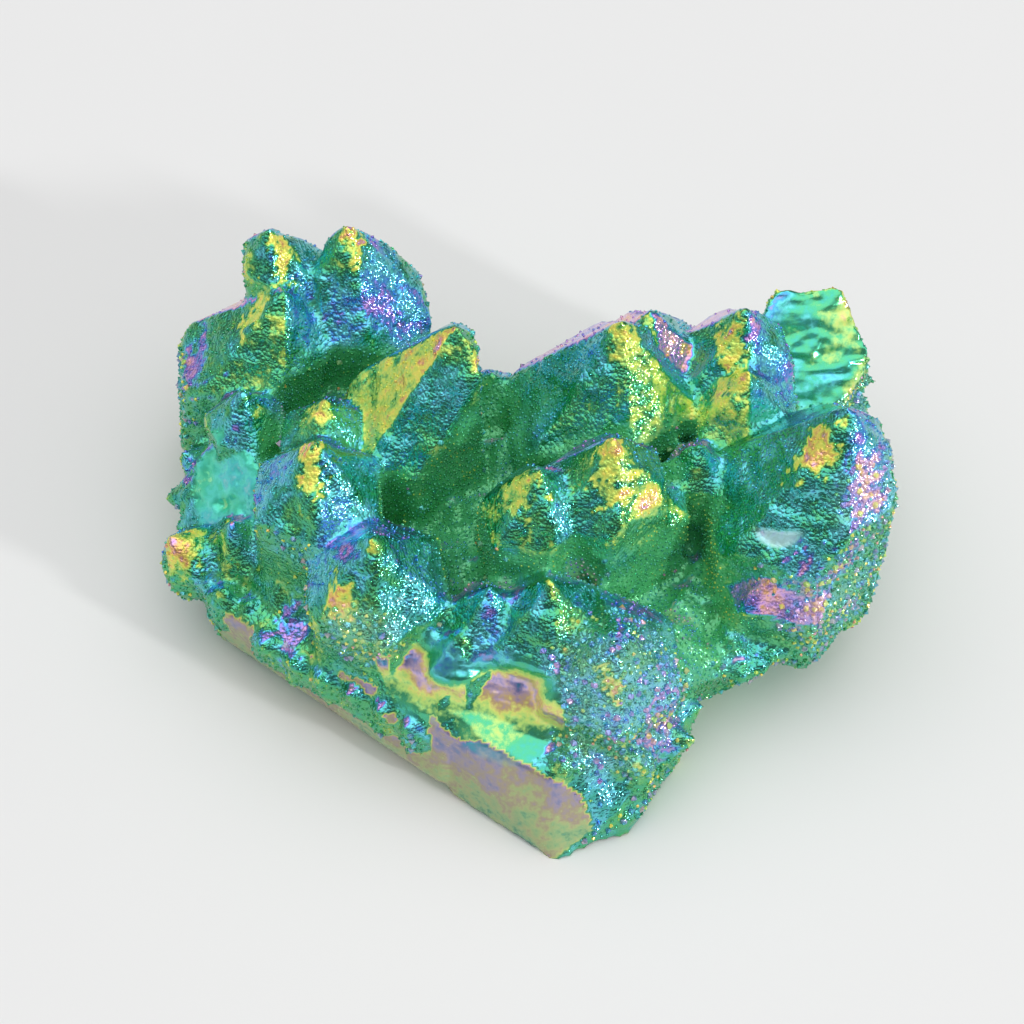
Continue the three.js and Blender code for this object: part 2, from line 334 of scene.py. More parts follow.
def film_colour(name, colour, note):
    """One colour property of the film."""
    return bpy.props.FloatVectorProperty(
        name=name, description=note, default=colour, size=3, min=0.0, max=1.0, subtype="COLOR"
    )


class QuartzFilmSettings(bpy.types.PropertyGroup):
    """Colours of the thin metal film, in the order in which it thickens."""

    orange: film_colour("Orange", (0.95, 0.52, 0.22), "The thinnest film")
    gold: film_colour("Gold", (0.93, 0.86, 0.14), "After orange")
    lime: film_colour("Lime", (0.60, 0.84, 0.16), "After gold")
    green: film_colour("Green", (0.11, 0.50, 0.18), "After lime")
    sea: film_colour("Sea green", (0.08, 0.47, 0.27), "After green")
    teal: film_colour("Teal", (0.07, 0.46, 0.41), "After sea green")
    cyan: film_colour("Cyan", (0.16, 0.68, 0.78), "After teal")
    blue: film_colour("Blue", (0.07, 0.30, 0.76), "After cyan")
    violet: film_colour("Violet", (0.42, 0.26, 0.78), "After blue")
    lilac: film_colour("Lilac", (0.84, 0.46, 0.74), "After violet, and before orange again")
    depth: film_colour("Depth", (0.10, 0.53, 0.20), "The quartz seen through thin film in the hollows")
    satin: film_colour("Satin", (0.08, 0.24, 0.25), "The duller film on the clean sides of the base")
    # Frost: the pale of the chip, and a painted sparkle that lightens the crusts where they sit in shade.
    frost: film_colour("Frost", (0.62, 0.90, 0.93), "The light sugar of the coarse crusts")
    # Pale: a light film on the broken faces, and painted light that brightens the faces the lamp misses.
    pale: film_colour("Pale", (0.09, 0.95, 0.66), "The light film on the broken faces")


class QuartzStageSettings(bpy.types.PropertyGroup):
    """The plain studio around the cluster."""

    floor_colour: bpy.props.FloatVectorProperty(
        name="Floor", description="Colour of the floor", default=(0.80, 0.80, 0.80), size=3, subtype="COLOR"
    )
    key_power: bpy.props.FloatProperty(
        name="Key light", description="Power of the low light from the right", default=8.0, unit="POWER"
    )
    sky_low: bpy.props.FloatProperty(
        name="Sky low", description="Light of the sky near the horizon", default=0.18
    )
    sky_high: bpy.props.FloatProperty(name="Sky high", description="Light of the sky overhead", default=1.92)
    sky_side: bpy.props.FloatProperty(
        name="Sky sides", description="Light added at the left and right", default=0.6
    )


# Small helpers for arrays over a mesh.


def corner_places(mesh):
    """The corners of a mesh as an array."""
    places = np.empty(len(mesh.vertices) * 3, np.float32)
    mesh.vertices.foreach_get("co", places)
    return places.reshape(-1, 3).astype(float)


def corner_normals(mesh):
    """The normals at a mesh's corners as an array."""
    normals = np.empty(len(mesh.vertices) * 3, np.float32)
    mesh.vertex_normals.foreach_get("vector", normals)
    return normals.reshape(-1, 3).astype(float)


def edge_pairs(mesh):
    """The two corners of each edge."""
    pairs = np.empty(len(mesh.edges) * 2, np.int32)
    mesh.edges.foreach_get("vertices", pairs)
    return pairs.reshape(-1, 2)


def relaxed(values, pairs, passes):
    """Values at corners, each pass half way to the mean of their neighbours."""
    flat = values.reshape(len(values), -1).copy()
    count = len(flat)
    reach = np.bincount(pairs.ravel(), minlength=count).clip(1)
    for _ in range(passes):
        for column in range(flat.shape[1]):
            one = flat[:, column]
            total = np.bincount(pairs[:, 0], weights=one[pairs[:, 1]], minlength=count)
            total += np.bincount(pairs[:, 1], weights=one[pairs[:, 0]], minlength=count)
            flat[:, column] = (one + total / reach) / 2
    return flat.reshape(values.shape)


def smooth_step(values, low, high):
    """0 below low, 1 above high, and a smooth rise between."""
    part = np.clip((values - low) / (high - low), 0.0, 1.0)
    return part * part * (3 - 2 * part)


def swell(places, size, shift=0.0):
    """Slow noise over places, with features of that size, from -1 to 1."""
    offset = Vector((shift, shift * 0.7, -shift))
    return np.array([noise.noise(Vector(p) / size + offset) for p in places])


def domes(places, size):
    """Rounded bumps packed side by side, from 0 between them to 1 on top."""
    near = np.array([noise.voronoi(Vector(p) / size)[0][0] for p in places])
    return np.clip(1 - near * near * 1.6, 0.0, 1.0)


def set_values(mesh, name, values):
    """Stores one number at each corner."""
    layer = mesh.attributes.new(name, "FLOAT", "POINT")
    layer.data.foreach_set("value", values.astype(np.float32))


def way_vector(turn, rise):
    """A direction from degrees around +Z and degrees above level."""
    around, up = math.radians(turn), math.radians(rise)
    return np.array((math.cos(up) * math.cos(around), math.cos(up) * math.sin(around), math.sin(up)))


# The coated crystals.


def merged_copy(node):
    """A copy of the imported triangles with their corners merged."""
    shell = bmesh.new()
    shell.from_mesh(node.data)
    bmesh.ops.remove_doubles(shell, verts=shell.verts, dist=MERGE)
    mesh = bpy.data.meshes.new("quartz_shell")
    shell.to_mesh(mesh)
    tree = BVHTree.FromBMesh(shell)
    shell.free()
    return mesh, tree


def gridded(mesh, cell):
    """The shell's surface as an even grid of small faces."""
    holder = bpy.data.objects.new("quartz_grid", mesh)
    bpy.context.scene.collection.objects.link(holder)
    grid = holder.modifiers.new("grid", "REMESH")
    grid.mode = "VOXEL"
    grid.voxel_size = cell
    made = bpy.data.meshes.new_from_object(holder.evaluated_get(bpy.context.evaluated_depsgraph_get()))
    bpy.data.objects.remove(holder)
    return made


def nearest_facets(places, tree):
    """The normal of the shell's nearest facet at each place."""
    normals = np.zeros_like(places)
    for index, place in enumerate(places):
        normals[index] = tree.find_nearest(Vector(place))[1]
    return normals


SKY_RAYS = 14
SKY_REACH = 14 * MM
SKY_LIFT = 0.25 * MM
# Rays flatter to the surface than this are left out.
SKY_LEAST = 0.2


def shelter(places, normals, tree):
    """How much of the view outwards from each place the crystals close off, from 0 to 1."""
    turn = math.pi * (3 - math.sqrt(5))
    rays = []
    for index in range(SKY_RAYS * 2):
        level = 1 - (index + 0.5) / SKY_RAYS
        flat = math.sqrt(1 - level * level)
        rays.append(Vector((flat * math.cos(turn * index), flat * math.sin(turn * index), level)))
    closed = np.zeros(len(places))
    for index, (place, normal) in enumerate(zip(places, normals)):
        out = Vector(normal)
        start = Vector(place) + out * SKY_LIFT
        seen, met = 0.0, 0.0
        for ray in rays:
            weight = ray.dot(out)
            if weight < SKY_LEAST:
                continue
            seen += weight
            if tree.ray_cast(start, ray, SKY_REACH)[0] is not None:
                met += weight
        closed[index] = met / seen
    return closed


def owners(places, facets):
    """The listed point that each facet belongs to, found by the tip its plane passes through, or -1."""
    tips = np.array([p["tip"] for p in POINT_FILMS]) * MM
    halves = np.array([p["half"] for p in POINT_FILMS]) * MM
    best = np.full(len(places), -1)
    least = np.full(len(places), np.inf)
    for index, (tip, half) in enumerate(zip(tips, halves)):
        away = places - tip
        gap = np.abs((away * facets).sum(1)) / (OWN_GAP * MM)
        far = np.linalg.norm(away[:, :2], axis=1) / half
        cost = np.where((gap < 1) & (far < OWN_REACH), gap + 0.3 * far, np.inf)
        nearer = cost < least
        best[nearer] = index
        least[nearer] = cost[nearer]
    return best


def film_orders(places, facets, slow):
    """The film's order at each place, from the point it belongs to and the way its facet looks."""
    best = owners(places, facets)
    turn = np.degrees(np.arctan2(facets[:, 1], facets[:, 0]))
    side = np.round((turn - FIRST_WAY) / FACE_STEP).astype(int) % len(WAYS)
    table = np.array([[p.get(w, COMMON_FILM[w]) for w in WAYS] for p in POINT_FILMS])
    common = np.array([COMMON_FILM[w] for w in WAYS])
    orders = np.where(best >= 0, table[best, side], common[side] + 0.15 * slow)
    tips = np.array([p["tip"] for p in POINT_FILMS]) * MM
    below = np.where(best >= 0, tips[best, 2] - places[:, 2], 0.0)
    orders += np.where(orders < LIME + 0.06, GOLD_FADE * below / MM, 0.0)
    steep = smooth_step(-facets[:, 2], -0.42, -0.2)
    return orders * (1 - steep) + (GREEN + 0.09 + 0.13 * slow) * steep


def snapped_places(places, facets):
    """Where the broken faces are: how much, their film and its drift, their ripples and their paleness, which
    is partly painted light.
    """
    mask = np.zeros(len(places))
    film = np.zeros(len(places))
    drift = np.zeros(len(places))
    pale = np.zeros(len(places))
    ripple = np.zeros(len(places))
    for snap in SNAPPED:
        middle = np.array(snap["at"]) * MM
        near = np.linalg.norm(places - middle, axis=1) < snap["reach"] * MM
        flat = facets @ way_vector(*snap["way"]) > snap.get("agrees", SNAP_AGREES)
        here = near & flat & (mask == 0)
        mask[here] = 1.0
        pale[here] = snap["pale"]
        film[here] = snap["film"]
        drift[here] = snap["drift"]
        ripple[here] = snap["ripple"] * MM
    return mask, film, drift, ripple, pale


class QUARTZ_OT_body(bpy.types.Operator):
    """Make the film-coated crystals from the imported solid"""

    bl_idname = "quartz.body"
    bl_label = "Coated crystals"

    def execute(self, context):
        settings = context.scene.quartz_body
        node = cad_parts[NODE]
        shell, tree = merged_copy(node)
        mesh = gridded(shell, settings.cell)
        mesh.name = "quartz_body"
        pairs = edge_pairs(mesh)
        places = relaxed(corner_places(mesh), pairs, GRID_PASSES)
        facets = nearest_facets(places, tree)
        mesh.vertices.foreach_set("co", places.astype(np.float32).ravel())
        mesh.update()
        normals = corner_normals(mesh)

        # Ridges stand out of the relaxed surface, sharp ones and broad ones.
        slack = relaxed(places, pairs, SHARP_PASSES)
        sharp = smooth_step(((places - slack) * normals).sum(1), SHARP_RIDGE[0] * MM, SHARP_RIDGE[1] * MM)
        slack = relaxed(slack, pairs, BROAD_PASSES)
        broad = smooth_step(((places - slack) * normals).sum(1), BROAD_RIDGE[0] * MM, BROAD_RIDGE[1] * MM)
        closed = relaxed(shelter(places, normals, tree), pairs, SHELTER_PASSES)
        slow = swell(places, SLOW[0] * MM, SLOW[1])
        mild = swell(places, MILD[0] * MM, MILD[1])
        lumps = swell(places, LUMPS[0] * MM, LUMPS[1])
        quick = swell(places, QUICK[0] * MM, QUICK[1])
        speck = swell(places, SPECK[0] * MM, SPECK[1])

        # Film orders, then the broken and clean faces over them.
        film = film_orders(places, facets, slow) - BROAD_SHIFT * broad - SHARP_SHIFT * sharp
        rising = smooth_step(facets[:, 2], 0.42, 0.55) * smooth_step(-facets[:, 2], -0.8, -0.7)
        turn = np.degrees(np.arctan2(facets[:, 1], facets[:, 0]))
        back_face = rising * smooth_step(-np.abs((turn - BACK_WAY + 180) % 360 - 180), -26, -12)
        snapped, snap_film, drift, ripple, pale = snapped_places(places, facets)
        agrees = np.max(facets @ np.array(CLEAN_WAYS).T, axis=1)
        outer = places @ np.array(CLEAN_WAYS[0]) > CLEAN_DISTANCE * MM
        clean = ((agrees > CLEAN_AGREES) & outer) * 1.0
        clean = (relaxed(clean, pairs, CLEAN_PASSES) > 0.5) * 1.0
        height = places[:, 2] / (10 * MM) + 0.1 * mild + 0.1 * slow
        clean_film = np.interp(height, CLEAN_HEIGHTS, CLEAN_FILMS)
        along = (places[:, 0] - CHIP["at"][0] * MM) / (CHIP["long"] * MM)
        from_chip = places - np.array(CHIP["at"]) * MM
        across = from_chip @ np.array(CHIP_DOWN) / (CHIP["wide"] * MM) + CHIP_BEND * (along * along - 0.3)
        chip = smooth_step(-np.hypot(along, across), -1.1, -0.6)
        chip *= np.linalg.norm(from_chip, axis=1) < 1.5 * CHIP["long"] * MM
        banded = np.interp(places[:, 2] / MM + BAND_BEND * mild + BAND_BEND * slow, BAND_HEIGHTS, BAND_FILMS)
        snap_film = np.where(snap_film > 0, snap_film, banded)
        film = np.where(snapped > 0, snap_film + drift * (mild + slow), film)
        for patch in BLUSHES:
            away = places - np.array(patch["at"]) * MM
            ridge = np.array(LEFT_RIDGE if patch.get("left") else FRONT_RIDGE)
            down = (away @ ridge)[:, None] * ridge
            away = np.linalg.norm(away - down + down / BLUSH_STRETCH, axis=1)
            away /= patch["reach"] * BLUSH_REACH * MM
            share = BLUSH_COVER * smooth_step(-away - 0.5 * mild - 0.7 * quick - 0.9 * speck, *BLUSH_EDGE)
            film = film * (1 - share) + patch["film"] * share
        film = np.where(clean > 0, clean_film, film)
        bare = np.maximum.reduce([snapped, clean, chip, BACK_BARE * back_face])
        bare = np.clip(relaxed(bare, pairs, BARE_PASSES), 0, 1)
        druse = 1 - bare
        deep = smooth_step(closed, *HOLLOW_SHELTER)
        deep = np.clip(deep + 0.5 * smooth_step(-facets[:, 2], -0.42, -0.15) * (1 - clean), 0, 1)
        for patch in HOLLOWS:
            away = np.linalg.norm(places - np.array(patch["at"]) * MM, axis=1) / (patch["reach"] * MM)
            deep = np.maximum(deep, smooth_step(-away - 0.3 * mild, -1.0, -0.5))
        deep *= 1 - 0.9 * bare

        # The surface: inset under its grains, with bumps, swells and ledges, and ripples on the broken faces.
        rise = -settings.inset * druse
        rise += settings.bump * druse * domes(places, DOME_SIZE * MM)
        rise += settings.wave * (0.3 + 0.7 * druse) * (mild + 1.2 * lumps) * (1 - clean)
        rise += settings.wave * druse * (smooth_step(mild + 0.3 * quick, 0.05, 0.2) - 0.5)
        rise += settings.wave * sharp * druse * quick
        rise -= CHIP["depth"] * MM * chip
        shells = np.linalg.norm(places - np.array(SHELL_MIDDLE) * MM, axis=1) / (SHELL_STEP * MM)
        shells = np.sin(shells + 5 * mild)
        leaning = places @ np.array(((0.5, 0.2, 0.0), (-0.3, 0.9, 0.3), (0.2, 0.3, 1.0)))
        crinkle = np.abs(swell(leaning, CRINKLE_SIZE * MM, 2.2) + 0.3 * mild)
        rise += ripple * (0.2 * shells + 0.7 * mild + 0.3 * quick - 1.8 * crinkle) * snapped
        places = places + normals * rise[:, None]
        places[:, 2] = places[:, 2].clip(0.0)
        mesh.vertices.foreach_set("co", places.astype(np.float32).ravel())
        mesh.update()
        mesh.shade_smooth()

        set_values(mesh, "film", film)
        set_values(mesh, "druse", druse)
        set_values(mesh, "deep", deep)
        set_values(mesh, "satin", relaxed(clean, pairs, 1))
        # Paleness of the broken faces, partly painted light.
        set_values(mesh, "pale", relaxed(pale, pairs, 1))
        set_values(mesh, "crest", broad)
        crust = np.zeros(len(places))
        for patch in CRUSTS:
            away = np.linalg.norm(places - np.array(patch["at"]) * MM, axis=1) / (patch["reach"] * MM)
            crust = np.maximum(crust, smooth_step(-away, -1.0, -0.6))
        flank = smooth_step(-facets[:, 2], -0.5, -0.2) * (1 - 0.8 * smooth_step(closed, 0.25, 0.5))
        coarse = druse * np.clip(0.7 * flank * smooth_step(slow + mild, -0.2, 0.6) + crust, 0, 1)
        lifted = smooth_step(places[:, 2], GRAIN_HEIGHTS[0] * MM, GRAIN_HEIGHTS[1] * MM)
        set_values(mesh, "coarse", coarse * lifted)
        # The chip is pale, and the crusts take a painted sparkle that lightens them in shade.
        set_values(mesh, "frost", np.maximum(0.2 * crust * druse * (1 - deep), 0.75 * chip))
        set_values(mesh, "fine", druse * lifted * np.clip(0.4 + 0.6 * deep + 0.4 * crust, 0, 1))
        mesh.materials.clear()
        mesh.materials.append(film_on_quartz(context.scene.quartz_film))
        body = bpy.data.objects.new("quartz_body", mesh)
        context.scene.collection.objects.link(body)
        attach(body, BODY)
        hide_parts(NODE)
        return {"FINISHED"}


# The film's material. Its drifts and grain repeat this many times in a metre.
SLOW_SCALE = 260.0
PATCHY_SCALE = 720.0
QUICK_SCALE = 1900.0
CELL_SCALE = 3000.0
TOOTH_SCALE = 7000.0
GRAIN_DEPTH = 0.0002


def add_node(tree, kind, where, **values):
    """A node of that kind, with its settings."""
    made = tree.nodes.new(kind)
    made.location = where
    for name, value in values.items():
        setattr(made, name, value)
    return made


def math_node(tree, where, what, first, second):
    """A Math node between two sockets or numbers."""
    made = add_node(tree, "ShaderNodeMath", where, operation=what)
    for socket, value in zip(made.inputs, (first, second)):
        if isinstance(value, bpy.types.NodeSocket):
            tree.links.new(value, socket)
        elif value is not None:
            socket.default_value = value
    return made.outputs[0]


def scaled_sum(tree, where, value, scale, base):
    """base plus value times scale."""
    made = math_node(tree, where, "MULTIPLY_ADD", value, scale)
    if isinstance(base, bpy.types.NodeSocket):
        tree.links.new(base, made.node.inputs[2])
    else:
        made.node.inputs[2].default_value = base
    return made


def read_value(tree, where, name):
    """One stored number of the surface."""
    return add_node(tree, "ShaderNodeAttribute", where, attribute_name=name).outputs["Fac"]


def noise_node(tree, where, coordinates, scale, detail):
    """Noise on the piece's own coordinates, centred on zero."""
    made = add_node(tree, "ShaderNodeTexNoise", where)
    made.inputs["Scale"].default_value = scale
    made.inputs["Detail"].default_value = detail
    tree.links.new(coordinates, made.inputs["Vector"])
    return math_node(tree, (where[0] + 180, where[1]), "SUBTRACT", made.outputs["Fac"], 0.5)


def mix_colour(tree, where, share, first, second):
    """A colour mix by share. second may be a fixed colour."""
    made = add_node(tree, "ShaderNodeMix", where, data_type="RGBA")
    tree.links.new(share, made.inputs["Factor"])
    tree.links.new(first, made.inputs["A"])
    if isinstance(second, bpy.types.NodeSocket):
        tree.links.new(second, made.inputs["B"])
    else:
        made.inputs["B"].default_value = (*second, 1.0)
    return made.outputs["Result"]


def film_on_quartz(colours):
    """Thin metal film on quartz, coloured by its order, with the green quartz showing in the hollows."""
    known = bpy.data.materials.get("film_on_quartz")
    if known:
        return known
    material = bpy.data.materials.new("film_on_quartz")
    material.use_nodes = True
    tree = material.node_tree
    tree.nodes.clear()
    output = add_node(tree, "ShaderNodeOutputMaterial", (1500, 0))
    shader = add_node(tree, "ShaderNodeBsdfPrincipled", (1200, 0))
    tree.links.new(shader.outputs[0], output.inputs["Surface"])
    coordinates = add_node(tree, "ShaderNodeTexCoord", (-1400, 0)).outputs["Object"]
    film = read_value(tree, (-1400, 400), "film")
    druse = read_value(tree, (-1400, 250), "druse")
    deep = read_value(tree, (-1400, 100), "deep")
    jitter = read_value(tree, (-1400, -200), "jitter")
    satin = read_value(tree, (-1400, -350), "satin")
    pale = read_value(tree, (-1400, -500), "pale")
    crest = read_value(tree, (-1400, -650), "crest")
    frost = read_value(tree, (-1400, -800), "frost")

    # Order of the film: its own, with slow and quick drifts, and a jump on some grains.
    slow = noise_node(tree, (-1150, 600), coordinates, SLOW_SCALE, 2.0)
    patchy = noise_node(tree, (-1150, 510), coordinates, PATCHY_SCALE, 1.0)
    quick = noise_node(tree, (-1150, 420), coordinates, QUICK_SCALE, 2.0)
    drift = math_node(tree, (-900, 620), "MULTIPLY", slow, scaled_sum(tree, (-1050, 700), crest, 1.2, 0.45))
    order = math_node(tree, (-850, 500), "ADD", drift, film)
    drift = math_node(tree, (-750, 620), "MULTIPLY", patchy, scaled_sum(tree, (-900, 740), crest, 0.5, 0.3))
    order = math_node(tree, (-700, 500), "ADD", drift, order)
    order = scaled_sum(tree, (-550, 500), quick, 0.36, order)
    order = math_node(tree, (-390, 500), "ADD", order, jitter)
    order = math_node(tree, (-300, 500), "SUBTRACT", order, ORANGE)
    order = math_node(tree, (-210, 500), "FRACT", order, None)
    ramp = add_node(tree, "ShaderNodeValToRGB", (0, 500))
    tree.links.new(order, ramp.inputs["Fac"])
    # Each stop: order, colour, and how metallic the film is there.
    stops = (
        (ORANGE, colours.orange, 0.6), (GOLD, colours.gold, 0.27), (LIME, colours.lime, 0.34),
        (GREEN, colours.green, 0.9), (SEA, colours.sea, 0.95), (TEAL, colours.teal, 0.95),
        (CYAN, colours.cyan, 0.88), (BLUE, colours.blue, 0.88), (VIOLET, colours.violet, 0.8),
        (LILAC, colours.lilac, 0.7), (ORANGE + 1, colours.orange, 0.6),
    )
    band = ramp.color_ramp
    band.elements[0].color = (*stops[0][1], stops[0][2])
    band.elements[1].color = (*stops[-1][1], stops[-1][2])
    for place, colour, metal in stops[1:-1]:
        band.elements.new(place - ORANGE).color = (*colour, metal)
    hollow = math_node(tree, (0, 250), "MULTIPLY", deep, 0.9)
    colour = mix_colour(tree, (300, 450), hollow, ramp.outputs["Color"], colours.depth)
    dull = math_node(tree, (300, 700), "MULTIPLY", satin, 0.62)
    colour = mix_colour(tree, (450, 450), dull, colour, colours.satin)
    # Painted light: the broken faces are mixed towards a light colour that brightens them where the lamp
    # misses them.
    light = math_node(tree, (450, 700), "MULTIPLY", pale, 0.75)
    colour = mix_colour(tree, (600, 450), light, colour, colours.pale)
    # The chip's pale colour, and painted sparkle on the crusts.
    colour = mix_colour(tree, (750, 450), frost, colour, colours.frost)
    tree.links.new(colour, shader.inputs["Base Color"])

    # Metal film over open faces, and less of it in the hollows.
    metal = scaled_sum(tree, (350, 200), deep, -0.65, ramp.outputs["Alpha"])
    metal = scaled_sum(tree, (440, 200), crest, 0.4, metal)
    metal = scaled_sum(tree, (530, 200), satin, -0.3, metal)
    metal = scaled_sum(tree, (620, 200), pale, -0.75, metal)
    metal = scaled_sum(tree, (710, 200), frost, -0.8, metal)
    metal.node.use_clamp = True
    tree.links.new(metal, shader.inputs["Metallic"])
    rough = scaled_sum(tree, (350, 50), druse, -0.08, 0.21)
    rough = scaled_sum(tree, (530, 50), satin, 0.03, rough)
    rough = scaled_sum(tree, (710, 50), quick, 0.18, rough)
    tree.links.new(rough, shader.inputs["Roughness"])

    # Grain of the druse: rounded cells, and a finer tooth on them.
    cells = add_node(tree, "ShaderNodeTexVoronoi", (-600, -300), feature="F1")
    cells.inputs["Scale"].default_value = CELL_SCALE
    tree.links.new(coordinates, cells.inputs["Vector"])
    dome = math_node(tree, (-380, -300), "MULTIPLY", cells.outputs["Distance"], cells.outputs["Distance"])
    tooth = noise_node(tree, (-600, -550), coordinates, TOOTH_SCALE, 1.0)
    height = math_node(tree, (-100, -350), "MULTIPLY", tooth, 0.4)
    height = math_node(tree, (50, -350), "SUBTRACT", height, dome)
    share = scaled_sum(tree, (-100, -180), druse, 0.36, 0.04)
    bump = add_node(tree, "ShaderNodeBump", (350, -300))
    bump.inputs["Distance"].default_value = GRAIN_DEPTH
    tree.links.new(height, bump.inputs["Height"])
    tree.links.new(share, bump.inputs["Strength"])
    tree.links.new(bump.outputs["Normal"], shader.inputs["Normal"])
    shader.inputs["IOR"].default_value = 1.55
    shader.inputs["Coat Weight"].default_value = 0.1
    shader.inputs["Coat Roughness"].default_value = 0.18
    return material


# The druse, scattered by nodes over the crystals.


def tree_input(tree, name, kind, value):
    """A named input of a node tree."""
    socket = tree.interface.new_socket(name, in_out="INPUT", socket_type=kind)
    if value is not None:
        socket.default_value = value
    return socket.identifier


def stored(tree, where, geometry, name, value):
    """The geometry with one more number stored at each point."""
    made = add_node(tree, "GeometryNodeStoreNamedAttribute", where, data_type="FLOAT", domain="POINT")
    made.inputs["Name"].default_value = name
    tree.links.new(geometry, made.inputs["Geometry"])
    tree.links.new(value, made.inputs["Value"])
    return made.outputs["Geometry"]


# Most grains in a square metre, before the spacing thins them.
MOST_GRAINS = 2.0e7
# How far a sharp crystal leans, and how far any grain turns, in radians.
LEAN = 0.55
ANY_TURN = 3.1


def scatter_tree(name, sides, rings, smooth):
    """Nodes that scatter small crystals over a surface, more of them where it is drusy."""
    tree = bpy.data.node_groups.new(name, "GeometryNodeTree")
    tree.is_modifier = True
    tree_input(tree, "Geometry", "NodeSocketGeometry", None)
    names = {
        "spacing": tree_input(tree, "Spacing", "NodeSocketFloat", 0.0005),
        "least": tree_input(tree, "Least size", "NodeSocketFloat", 0.0001),
        "most": tree_input(tree, "Most size", "NodeSocketFloat", 0.0002),
        "length": tree_input(tree, "Length", "NodeSocketFloat", 1.0),
        "seed": tree_input(tree, "Seed", "NodeSocketInt", 0),
        "where": tree_input(tree, "Where", "NodeSocketString", "fine"),
        "jump": tree_input(tree, "Film jump", "NodeSocketFloat", 0.1),
        "material": tree_input(tree, "Material", "NodeSocketMaterial", None),
    }
    tree.interface.new_socket("Geometry", in_out="OUTPUT", socket_type="NodeSocketGeometry")
    given = add_node(tree, "NodeGroupInput", (-1200, 0)).outputs
    result = add_node(tree, "NodeGroupOutput", (1400, 0))

    # Where the grains stand.
    share = add_node(tree, "GeometryNodeInputNamedAttribute", (-1000, -200), data_type="FLOAT")
    tree.links.new(given["Where"], share.inputs["Name"])
    points = add_node(tree, "GeometryNodeDistributePointsOnFaces", (-750, 0), distribute_method="POISSON")
    tree.links.new(given["Geometry"], points.inputs["Mesh"])
    tree.links.new(given["Spacing"], points.inputs["Distance Min"])
    tree.links.new(share.outputs["Attribute"], points.inputs["Density Factor"])
    tree.links.new(given["Seed"], points.inputs["Seed"])
    points.inputs["Density Max"].default_value = MOST_GRAINS

    # Each grain's own film jump, turn and size.
    jump = add_node(tree, "FunctionNodeRandomValue", (-750, -450), data_type="FLOAT")
    low = add_node(tree, "ShaderNodeMath", (-950, -500), operation="MULTIPLY")
    tree.links.new(given["Film jump"], low.inputs[0])
    low.inputs[1].default_value = -1.0
    tree.links.new(low.outputs[0], jump.inputs[2])
    tree.links.new(given["Film jump"], jump.inputs[3])
    hollow = add_node(tree, "GeometryNodeInputNamedAttribute", (-1000, -700), data_type="FLOAT")
    hollow.inputs["Name"].default_value = "deep"
    hollow = hollow.outputs["Attribute"]
    wider = math_node(tree, (-750, -700), "MULTIPLY_ADD", hollow, 1.2)
    wider.node.inputs[2].default_value = 1.0
    jumped = math_node(tree, (-600, -500), "MULTIPLY", jump.outputs[1], wider)
    kept = stored(tree, (-450, 0), points.outputs["Points"], "jitter", jumped)
    metal = add_node(tree, "FunctionNodeRandomValue", (-750, -900), data_type="FLOAT")
    metal.inputs[2].default_value = -0.5
    bright = math_node(tree, (-600, -800), "MULTIPLY", hollow, metal.outputs[1])
    bright.node.use_clamp = True
    kept = stored(tree, (-300, 0), kept, "deep", bright)
    turn = add_node(tree, "FunctionNodeRandomValue", (-450, -250), data_type="FLOAT_VECTOR")
    tilt = ANY_TURN if smooth else LEAN
    turn.inputs[0].default_value = (-tilt, -tilt, -ANY_TURN)
    turn.inputs[1].default_value = (tilt, tilt, ANY_TURN)
    turned = add_node(tree, "FunctionNodeRotateRotation", (-200, -200), rotation_space="LOCAL")
    tree.links.new(points.outputs["Rotation"], turned.inputs[0])
    tree.links.new(turn.outputs[0], turned.inputs[1])
    size = add_node(tree, "FunctionNodeRandomValue", (-450, -600), data_type="FLOAT")
    tree.links.new(given["Least size"], size.inputs[2])
    tree.links.new(given["Most size"], size.inputs[3])
    grain = add_node(tree, "GeometryNodeMeshUVSphere", (-200, 200))
    grain.inputs["Segments"].default_value = sides
    grain.inputs["Rings"].default_value = rings
    grain.inputs["Radius"].default_value = 1.0
    longer = add_node(tree, "GeometryNodeTransform", (0, 200))
    tree.links.new(grain.outputs["Mesh"], longer.inputs["Geometry"])
    stretch = add_node(tree, "ShaderNodeCombineXYZ", (-200, 400))
    stretch.inputs[0].default_value = 1.0
    stretch.inputs[1].default_value = 1.0
    tree.links.new(given["Length"], stretch.inputs[2])
    tree.links.new(stretch.outputs[0], longer.inputs["Scale"])
    copies = add_node(tree, "GeometryNodeInstanceOnPoints", (250, 0))
    tree.links.new(kept, copies.inputs["Points"])
    tree.links.new(longer.outputs["Geometry"], copies.inputs["Instance"])
    tree.links.new(turned.outputs[0], copies.inputs["Rotation"])
    tree.links.new(size.outputs[1], copies.inputs["Scale"])
    real = add_node(tree, "GeometryNodeRealizeInstances", (500, 0))
    tree.links.new(copies.outputs["Instances"], real.inputs["Geometry"])
    shade = add_node(tree, "GeometryNodeSetShadeSmooth", (750, 0))
    shade.inputs["Shade Smooth"].default_value = smooth
    tree.links.new(real.outputs["Geometry"], shade.inputs["Geometry"])
    paint = add_node(tree, "GeometryNodeSetMaterial", (1000, 0))
    tree.links.new(shade.outputs["Geometry"], paint.inputs["Geometry"])
    tree.links.new(given["Material"], paint.inputs["Material"])
    tree.links.new(paint.outputs["Geometry"], result.inputs["Geometry"])
    return tree, names


